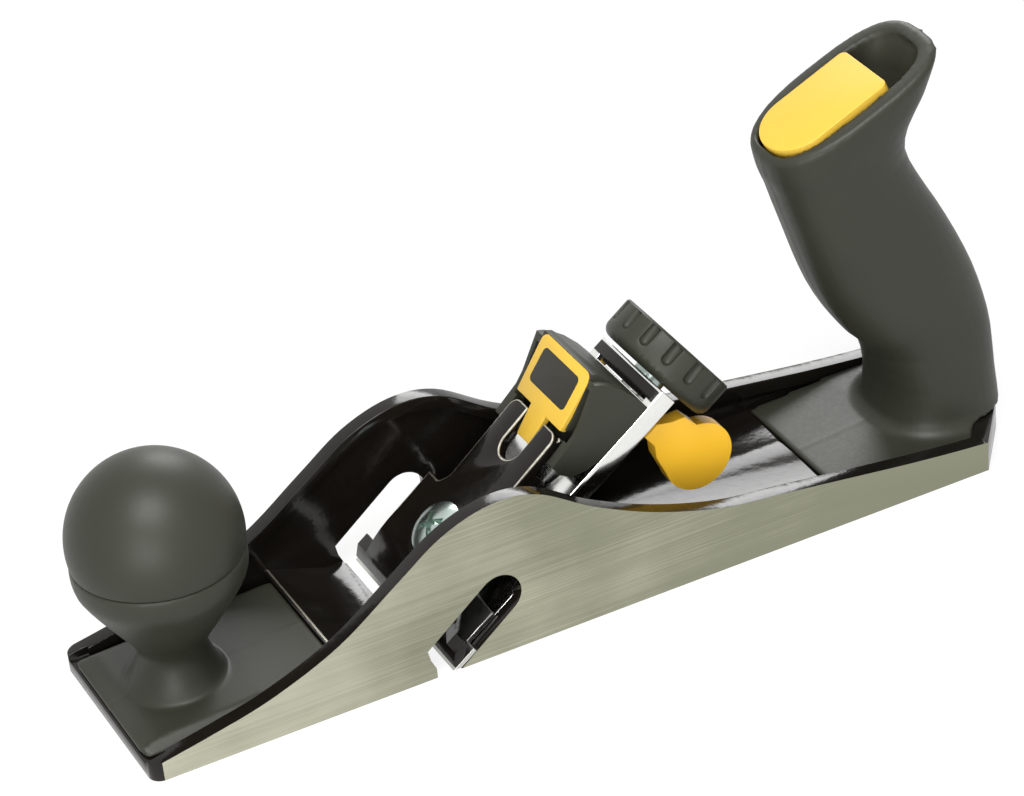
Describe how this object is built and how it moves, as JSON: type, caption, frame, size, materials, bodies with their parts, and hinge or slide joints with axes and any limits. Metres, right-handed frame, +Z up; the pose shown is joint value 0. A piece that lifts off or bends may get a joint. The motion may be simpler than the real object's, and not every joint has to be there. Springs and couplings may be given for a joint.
{
  "type": "universal plane",
  "caption": "Hand plane with a cast iron body open at both cheeks, ball knob, raked hollow handle, sliding blade carrier, cam-locked lever cap, screw depth feed and lateral lever.",
  "frame": {"origin": "centre of the sole, halfway from toe to heel, on the sole's plane", "axes": "+X from toe to heel, +Z up from the sole, +Y to the far cheek"},
  "size_m": [0.2729, 0.061, 0.1247],
  "materials": {
    "ground_iron": "ground outside, gloss black enamel inside",
    "dark_plastic": "satin moulded",
    "yellow_plastic": "satin moulded",
    "black_enamel": "gloss",
    "plated_steel": "bright plated",
    "blade_steel": "ground",
    "zinc": "zinc plated"
  },
  "bodies": {
    "plane": {"body": "ground_iron", "knob_base": "dark_plastic", "knob_cap": "dark_plastic", "knob_bolt": "zinc", "knob_washer": "zinc", "handle": "dark_plastic", "handle_bolt": "zinc", "handle_washer": "zinc", "lever_cap": "black_enamel", "guide_bush": "zinc", "depth_stud": "zinc", "lateral_rivet": "zinc"},
    "pressure_screw": {"cap_screw": "zinc"},
    "cam": {"cam_lever": "dark_plastic", "cam_insert": "yellow_plastic", "cam_pin": "blade_steel"},
    "adjuster": {"adjuster_yoke": "black_enamel"},
    "wheel": {"depth_wheel": "dark_plastic", "depth_nut": "zinc", "wheel_clip": "blade_steel"},
    "blade_set": {"blade_carrier": "plated_steel", "blade": "blade_steel", "blade_rivets": "zinc"},
    "lateral": {"lateral_lever": "plated_steel", "lateral_paddle": "yellow_plastic"},
    "magazine": {"blade_magazine": "yellow_plastic", "spare_blades": "blade_steel"}
  },
  "joints": [
    {"name": "cam_lever_swing", "type": "hinge", "parent": "plane", "child": "cam", "pos_m": [-0.00359, 0, 0.04001], "axis": [0, -1, 0], "range_deg": [0, 80]},
    {"name": "cap_screw_turn", "type": "hinge", "parent": "plane", "child": "pressure_screw", "pos_m": [-0.03576, 0, 0.0222], "axis": [-0.5878, 0, 0.809], "range_deg": [-180, 180]},
    {"name": "depth_slide", "type": "slide", "parent": "plane", "child": "adjuster", "axis": [-0.809, 0, -0.5878], "range_m": [-0.0012, 0.001]},
    {"name": "depth_wheel_spin", "type": "hinge", "parent": "adjuster", "child": "wheel", "pos_m": [0.03605, 0, 0.05163], "axis": [-0.809, 0, -0.5878], "range_deg": [-440, 368]},
    {"name": "blade_skew", "type": "hinge", "parent": "adjuster", "child": "blade_set", "pos_m": [-0.02794, 0, 0.01144], "axis": [-0.5878, 0, 0.809], "range_deg": [-1.05, 1.05]},
    {"name": "lateral_lever_swing", "type": "hinge", "parent": "plane", "child": "lateral", "pos_m": [-0.00847, 0, 0.02546], "axis": [-0.5878, 0, 0.809], "range_deg": [-5, 5]},
    {"name": "magazine_slide", "type": "slide", "parent": "plane", "child": "magazine", "axis": [-0.3939, 0, 0.9191], "range_m": [0, 0.06]}
  ],
  "couplings": [
    {"joint": "depth_wheel_spin", "follows": "depth_slide", "rad_per_m": 6283.2},
    {"joint": "blade_skew", "follows": "lateral_lever_swing", "ratio": -0.2}
  ]
}
